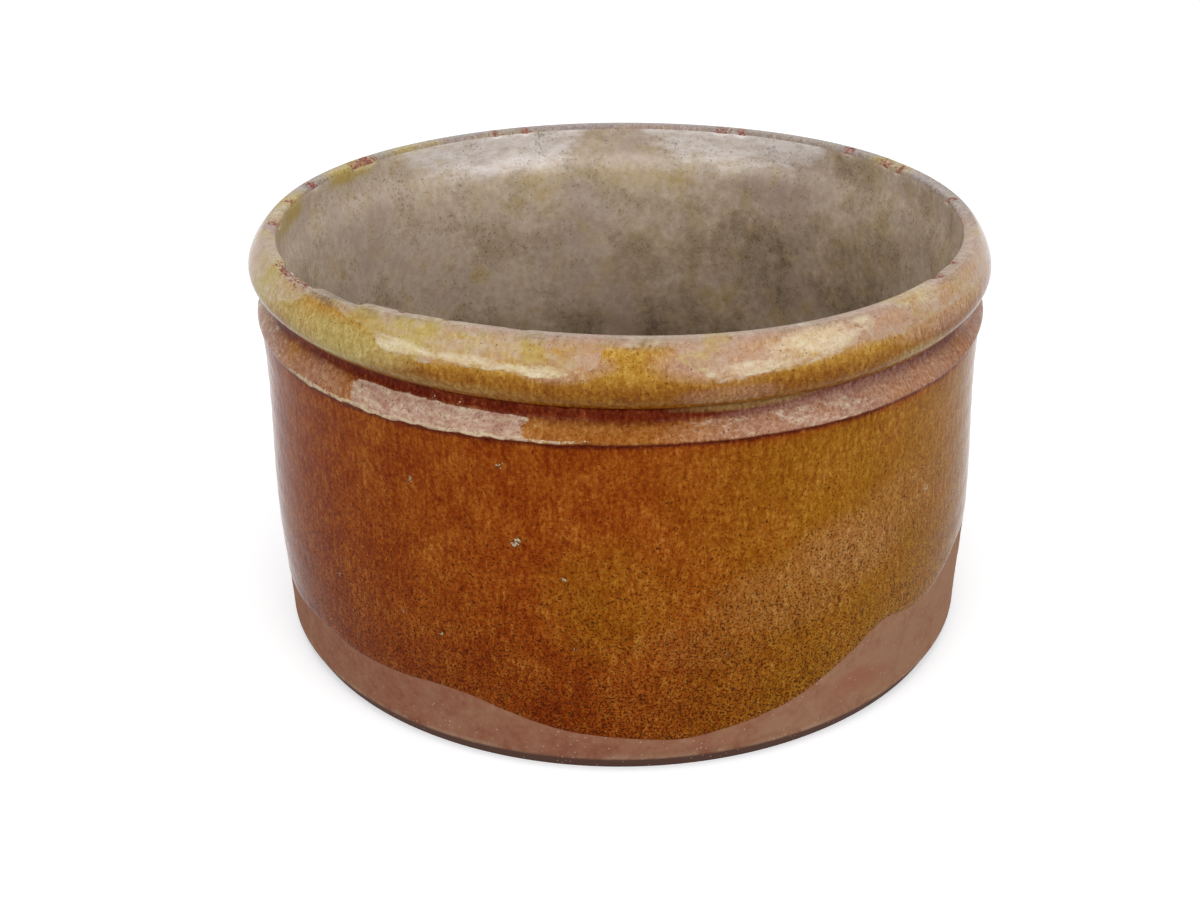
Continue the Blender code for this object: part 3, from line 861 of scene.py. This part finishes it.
def stained_glaze():
    """Clear glaze on the inside, greyed by years of use: satin, cloudy and speckled."""
    hues = settings("pot_inside")
    made, tree = blank("Stained inner glaze")
    spot = add(tree, "TexCoord", out="Object")
    light, stain, yellow, bloom = (
        add(tree, "Attribute", attribute_name=mask, out="Fac")
        for mask in "light stain yellow bloom".split()
    )
    # Clouds of 10 to 20 mm
    clouds = add(tree, "TexNoise", spot, Scale=55.0, Detail=4.0, Roughness=0.58)
    share = add(tree, "Math", light, stain, operation="SUBTRACT")
    share = add(tree, "Math", share, 0.22, clouds, operation="MULTIPLY_ADD")
    tones = (0.26, hues.dark), (0.50, hues.grey), (0.76, hues.light)
    inner = add(tree, "ValToRGB", share, stops=tones)
    # Blots of 1 to 4 mm
    blots = add(tree, "TexNoise", spot, Scale=330.0, Detail=4.0, Roughness=0.65)
    depth = add(tree, "MapRange", blots, 0.25, 0.75, 1.24, 0.76)
    inner = add(tree, "Gamma", inner, depth)
    # Stains drift from greenish to purplish over 20 to 40 mm
    drift = add(tree, "TexNoise", spot, Scale=27.0, Detail=3.0, Roughness=0.6)
    for low, high, hue in ((0.52, 0.70, hues.mauve), (0.48, 0.30, hues.moss)):
        inner = laid_over(tree, inner, hue, drift, low, high, 0.0, 0.45)
    # Glaze that gathered in hollows of 12 mm is yellow
    hollow = add(tree, "TexNoise", spot, Scale=85.0, Detail=6.0, Roughness=0.7)
    tinge = add(tree, "Math", yellow, 0.55, hollow, operation="MULTIPLY_ADD")
    inner = laid_over(tree, inner, hues.yellow, tinge, 0.52, 1.05, 0.0, 0.9)
    # The whitish painted reflection under the lip has a broken lower edge, drawn out round the wall in
    # wisps of 8 mm
    brushed = add(tree, "Mapping", spot, Scale=(1.0, 1.0, 3.0))
    wisps = add(tree, "TexNoise", brushed, Scale=130.0, Detail=6.0, Roughness=0.7)
    edge = add(tree, "Math", wisps, 2.2, bloom, operation="MULTIPLY_ADD")
    inner = laid_over(tree, inner, hues.bloom, edge, 1.45, 2.35, 0.0, 0.9)
    # Dirt in pinholes of 0.4 mm, drawn at 0.7 mm
    pinholes = add(tree, "TexNoise", spot, Scale=900.0, Detail=2.0, Roughness=0.6)
    crowd = add(tree, "Math", clouds, -0.35, pinholes, operation="MULTIPLY_ADD")
    inner = laid_over(tree, inner, hues.speck, crowd, 0.41, 0.56, 0.0, 0.52)
    ripple = add(tree, "TexNoise", spot, Scale=220.0, Detail=5.0, Roughness=0.6)
    bump = add(tree, "Bump", Height=ripple, Strength=0.4, Distance=0.0006)
    shader = add(tree, "BsdfPrincipled", Base_Color=inner, Roughness=0.26, IOR=1.45, Normal=bump)
    add(tree, "OutputMaterial", shader)
    return made


# Operators, one for each piece


class PotClayBody(bpy.types.Operator):
    """Throws the clay body, with its bevelled bare foot"""

    bl_idname = "pot.clay_body"
    bl_label = "Clay body"

    def execute(self, context):
        sizes = settings("pot_sizes")
        deep = sizes.coat + CLAY_GAP
        wall = wall_line(sizes, sizes.bevel_height, 34)
        foot = wall[-1] - at(sizes.edge_step, 0.0)
        heel = at(foot.x - sizes.bevel_depth, 0.0)
        outline = sunk(inner_line(sizes)[::-1] + outer_line(sizes)[1:-3], deep)
        outline += [spot - at(sizes.edge_step, 0.0) for spot in wall]
        outline += [foot.lerp(heel, share) for share in (0.1, 0.5, 0.9)]
        outline += [heel] + [at(heel.x * share, 0.0) for share in (0.66, 0.33, 0.0)]
        piece = thrown("clay_pot", outline)
        azimuth, radius, height = polar(piece)
        glazed = (radius > foot.x - sizes.wall_thickness / 2) & (height < sizes.height - WALL_TOP_DROP)
        glazed &= height > run_height(azimuth) + COVERED
        place_polar(piece, azimuth, radius - deep * glazed, height)
        by_hand(piece, sizes)
        azimuth, radius, height = polar(piece)
        masked(
            piece,
            warm=within(azimuth, -5.0, 45.0, 110.0, 160.0),
            flush=patches(azimuth, height, FLUSHES),
        )
        piece.data.materials.append(bare_clay())
        kept(piece, "bare_clay", "clay_body")
        return {"FINISHED"}


class PotStrip(bpy.types.Operator):
    """Presses the strip of clay on below the groove"""

    bl_idname = "pot.strip"
    bl_label = "Strip"

    def execute(self, context):
        sizes = settings("pot_sizes")
        deep = sizes.coat + STRIP_GAP
        top = sizes.height - sizes.strip_top_drop
        edge = sizes.height - sizes.strip_edge_drop
        face = [spot for spot in outer_line(sizes) if edge - NEAR < spot.z < top]
        front = [spot - at(deep, 0.0) for spot in face]
        back = [spot - at(deep + STRIP_THICKNESS, 0.0) for spot in face[::-1]]
        piece = thrown("pressed_strip", front + back + front[:1])
        azimuth, radius, height = polar(piece)
        # The lowest edge comes out through the glaze, torn most on the left of the front
        lowest = height < edge + 0.0008
        lowest &= radius > sizes.rim_radius - sizes.strip_edge_inset - deep - 0.0006
        rough = 0.25 + 0.75 * within(-azimuth, 0.0, 9.0, 44.0, 52.0)
        torn = np.clip(rough * (0.6 + 0.5 * ragged(azimuth, 0.0, 4.1)), 0.0, 1.1)
        place_polar(piece, azimuth, radius + lowest * (deep + 0.00012) * torn, height)
        by_hand(piece, sizes)
        masked(piece, raw=np.full_like(azimuth, 0.8))
        piece.data.materials.append(bare_clay())
        kept(piece, "strip_clay", "cordon")
        return {"FINISHED"}


class PotOuterGlaze(bpy.types.Operator):
    """Pours the outer coat of glaze over the rim, groove, strip and wall, down to its run line"""

    bl_idname = "pot.outer_glaze"
    bl_label = "Outer glaze"

    def execute(self, context):
        sizes = settings("pot_sizes")
        outline = outer_line(sizes) + wall_line(sizes, GLAZE_FOOT, 36)
        outline.insert(-1, at(outline[-1].x, GLAZE_FOOT + 0.0005))
        piece = thrown("amber_coat", outline)
        self.run_down(piece, sizes)
        height = polar(piece)[2]
        by_hand(piece, sizes)
        self.mask(piece, sizes, height)
        walled(piece, sizes.coat)
        piece.data.materials.append(amber_glaze("Amber lead glaze of the wall", 1.10))
        piece.data.materials.append(amber_glaze("Honey lead glaze of the rim", 1.18))
        levels = np.empty(len(piece.data.vertices), np.float32)
        piece.data.attributes["turned_height"].data.foreach_get("value", levels)
        corners = np.empty(len(piece.data.loops), np.int32)
        piece.data.loops.foreach_get("vertex_index", corners)
        on_rim = levels[corners].reshape(-1, 4).min(1) > sizes.height - sizes.rim_height - NEAR
        piece.data.polygons.foreach_set("material_index", on_rim.astype(np.int32))
        kept(piece, "amber_glaze", "outer_glaze")
        return {"FINISHED"}

    def run_down(self, piece, sizes):
        """Draws the wall's part of the coat up or down to the run line."""
        azimuth, radius, height = polar(piece)
        top = sizes.height - WALL_TOP_DROP
        share = (top - height) / (top - GLAZE_FOOT)
        run = top + (run_height(azimuth) - top) * np.clip(share, 0.0, 1.0)
        ends = height < GLAZE_FOOT + 0.0002
        height = np.where(share > 0.0, run, height)
        drawn = np.array([wall_radius(level, sizes) for level in height])
        radius = np.where(share > 0.0, drawn - ends * sizes.edge_step, radius)
        place_polar(piece, azimuth, radius, height)

    def mask(self, piece, sizes, turned):
        """Marks where each kind of glaze lies. Turned is the height before the hand's waves."""
        azimuth, radius, height = polar(piece)
        edge = sizes.height - sizes.strip_edge_drop
        strip_top = sizes.height - sizes.strip_top_drop
        crest = sizes.rim_radius - sizes.crest_inset
        above_wall = turned > edge - NEAR
        # The wall's right side is painted lighter and yellower as its lit side; the ochre patches add
        # ochre glaze in front
        lit_side_and_ochre = within(azimuth, -12.0, 42.0, 100.0, 150.0)
        lit_side_and_ochre = np.maximum(lit_side_and_ochre, patches(azimuth, height, OCHRE_PATCHES))
        stained = between(np.abs(azimuth), 62.0, 100.0) * (turned > sizes.height - 0.004)
        stained *= 1.0 - between(radius, crest - 0.0005, crest + 0.0025)
        torn = 0.35 + 0.65 * within(-azimuth, 0.0, 9.0, 50.0, 60.0)
        worn = np.zeros_like(azimuth)
        for start, end, most, fade in WORN_AND_SHEEN_STRETCHES:
            past = np.abs(far(azimuth, (start + end) / 2))
            half = (end - start) / 2
            worn = np.maximum(worn, most * (1.0 - between(past, half - fade, half + fade)))
        worn *= above_wall * (1.0 - between(turned, strip_top + 0.0002, strip_top + 0.0014))
        masked(
            piece,
            ochre=lit_side_and_ochre * (1.0 - between(turned, 0.112, 0.117)),
            olive=patches(azimuth, height, OLIVE_PATCHES),
            rosy=patches(azimuth, height, ROSY_AND_SHEEN_PATCHES) * above_wall,
            tan=patches(azimuth, height, TAN_PATCHES),
            stained=stained,
            milky=above_line(azimuth, height, MILKY_REFLECTION_EDGE) * (1.0 - stained),
            cream=patches(azimuth, height, CREAM_HIGHLIGHT_PATCHES) * (1.0 - stained),
            burr=torn * (np.abs(turned - edge - 0.0003) < 0.0005),
            worn=worn,
        )


class PotInnerGlaze(bpy.types.Operator):
    """Pours the inner coat of glaze from the lip down to the floor"""

    bl_idname = "pot.inner_glaze"
    bl_label = "Inner glaze"

    def execute(self, context):
        sizes = settings("pot_sizes")
        piece = thrown("stained_coat", inner_line(sizes)[::-1])
        by_hand(piece, sizes)
        azimuth, radius, height = polar(piece)
        # The inside is paler up the wall and round the left of the far wall, paler still under the lip
        # there, and darker towards the floor
        up_wall = between(radius, 0.090, 0.116)
        left = between(-far(azimuth, 180.0), -60.0, 60.0)
        light = 0.3 * between(height, 0.030, 0.140) + 0.1 + 0.8 * (1.0 - left)
        pale_lip = within(-azimuth, 85.0, 105.0, 130.0, 145.0)
        light += 0.7 * pale_lip * between(height, 0.122, 0.140)
        masked(
            piece,
            light=light * up_wall,
            stain=patches(azimuth, height, STAIN_PATCHES),
            yellow=patches(azimuth, height, YELLOW_PATCHES),
            bloom=above_line(azimuth, height, REFLECTION_EDGE) * up_wall,
        )
        walled(piece, sizes.coat)
        piece.data.materials.append(stained_glaze())
        kept(piece, "inner_glaze", "inner_glaze")
        return {"FINISHED"}


def facing(height, azimuth, raised, away):
    """Place and turn of a lamp or camera that looks at the pot's axis at a height."""
    turn = Matrix.Rotation(math.radians(azimuth), 4, "Z")
    tilt = Matrix.Rotation(math.radians(90.0 - raised), 4, "X")
    reach = Matrix.Translation((0.0, 0.0, away))
    return Matrix.Translation((0.0, 0.0, height)) @ turn @ tilt @ reach


class PotStage(bpy.types.Operator):
    """Sets up the pale floor, the soft light and the camera"""

    bl_idname = "pot.stage"
    bl_label = "Stage"

    def execute(self, context):
        self.floor()
        self.light()
        self.camera()
        return {"FINISHED"}

    def floor(self):
        nothing_selected()
        bpy.ops.mesh.primitive_plane_add(size=8.0, location=(0.0, 0.0, -0.0002))
        plane = bpy.context.object
        plane.name = "floor"
        made, tree = blank("Pale floor")
        eye = self.seen(tree)
        # White to the eye, but mid grey to the pot, so that its foot isn't lit from below
        hue = laid_over(tree, (0.30, 0.30, 0.30), settings("pot_stage").floor, eye)
        # Further from the lamps the floor glows more, so that it stays white to its edge
        spot = add(tree, "TexCoord", out="Object")
        away = add(tree, "VectorMath", spot, operation="LENGTH")
        glow = add(tree, "MapRange", away, 0.6, 2.6, 0.35, 0.80)
        glow = add(tree, "Math", eye, glow, operation="MULTIPLY")
        shader = add(
            tree, "BsdfPrincipled", Base_Color=hue, Roughness=1.0, Specular_IOR_Level=0.0,
            Emission_Color=(1.0, 1.0, 1.0), Emission_Strength=glow,
        )
        add(tree, "OutputMaterial", shader)
        made.cycles.emission_sampling = "NONE"
        plane.data.materials.append(made)

    def seen(self, tree):
        """1 for what the camera sees, also in a reflection or through glass."""
        rays = add(tree, "LightPath").node.outputs
        eye = rays["Is Camera Ray"]
        for ray in ("Is Glossy Ray", "Is Transmission Ray"):
            eye = add(tree, "Math", eye, rays[ray], operation="MAXIMUM")
        return eye

    def light(self):
        stage = settings("pot_stage")
        world = bpy.data.worlds.new("Soft room")
        world.use_nodes = True
        tree = world.node_tree
        tree.nodes.clear()
        room = add(tree, "Background", (0.93, 0.96, 1.0), stage.room_light)
        white = add(tree, "Background", (1.0, 1.0, 1.0), 1.0)
        add(tree, "OutputWorld", add(tree, "MixShader", self.seen(tree), room, white))
        bpy.context.scene.world = world
        # Soft boxes: azimuth, elevation, distance, width, height, share of the power
        for name, azimuth, raised, away, wide, tall, share in (
            ("Left soft box", -37.0, 18.0, 1.2, 1.25, 0.50, 1.0),
            ("Right soft box", 41.0, 18.0, 1.2, 1.25, 0.50, 1.1),
            ("Back soft box", 180.0, 35.0, 1.3, 1.40, 0.60, 0.4),
            ("Top soft box", 0.0, 84.0, 1.2, 1.10, 0.90, 0.9),
        ):
            nothing_selected()
            bpy.ops.object.light_add(type="AREA")
            lamp = bpy.context.object
            lamp.name = name
            lamp.data.shape = "RECTANGLE"
            lamp.data.size = wide
            lamp.data.size_y = tall
            lamp.data.energy = stage.box_power * share
            lamp.visible_camera = False
            lamp.matrix_world = facing(0.10, azimuth, raised, away)

    def camera(self):
        """Puts the camera where the photograph was taken from."""
        nothing_selected()
        bpy.ops.object.camera_add()
        camera = bpy.context.object
        camera.name = "Photograph's view"
        camera.data.lens = 45.0
        camera.data.sensor_width = 36.0
        camera.data.clip_start = 0.01
        view = facing(VIEW_CENTRE, 0.0, VIEW_RAISED, VIEW_DISTANCE)
        for degrees, axis in ((VIEW_YAW, "Y"), (VIEW_PITCH, "X"), (VIEW_ROLL, "Z")):
            view = view @ Matrix.Rotation(math.radians(degrees), 4, axis)
        camera.matrix_world = view
        scene = bpy.context.scene
        scene.camera = camera
        scene.view_settings.view_transform = "Standard"


class PotPanel(bpy.types.Panel):
    """Lists the pot's sizes, colours and pieces"""

    bl_idname = "VIEW3D_PT_pot"
    bl_label = "Earthenware pot"
    bl_space_type = "VIEW_3D"
    bl_region_type = "UI"
    bl_category = "Pot"

    def draw(self, context):
        for group in GROUPS:
            box = self.layout.box()
            values = settings(group)
            for name in values.bl_rna.properties.keys():
                if name not in ("rna_type", "name"):
                    box.prop(values, name)
        for operator in OPERATORS:
            self.layout.operator(operator.bl_idname)


GROUPS = {
    "pot_sizes": PotSizes,
    "pot_glaze": GlazeColours,
    "pot_clay": ClayColours,
    "pot_inside": InsideColours,
    "pot_stage": StageSettings,
}
OPERATORS = (PotClayBody, PotStrip, PotOuterGlaze, PotInnerGlaze, PotStage)


def register():
    for group in GROUPS.values():
        bpy.utils.register_class(group)
    for name, group in GROUPS.items():
        setattr(bpy.types.Scene, name, bpy.props.PointerProperty(type=group))
    for operator in OPERATORS:
        bpy.utils.register_class(operator)
    bpy.utils.register_class(PotPanel)


def unregister():
    bpy.utils.unregister_class(PotPanel)
    for operator in reversed(OPERATORS):
        bpy.utils.unregister_class(operator)
    for name in GROUPS:
        delattr(bpy.types.Scene, name)
    for group in reversed(list(GROUPS.values())):
        bpy.utils.unregister_class(group)


def main():
    register()
    bpy.ops.pot.clay_body()
    bpy.ops.pot.strip()
    bpy.ops.pot.outer_glaze()
    bpy.ops.pot.inner_glaze()
    bpy.ops.pot.stage()


if __name__ == "__main__":
    main()
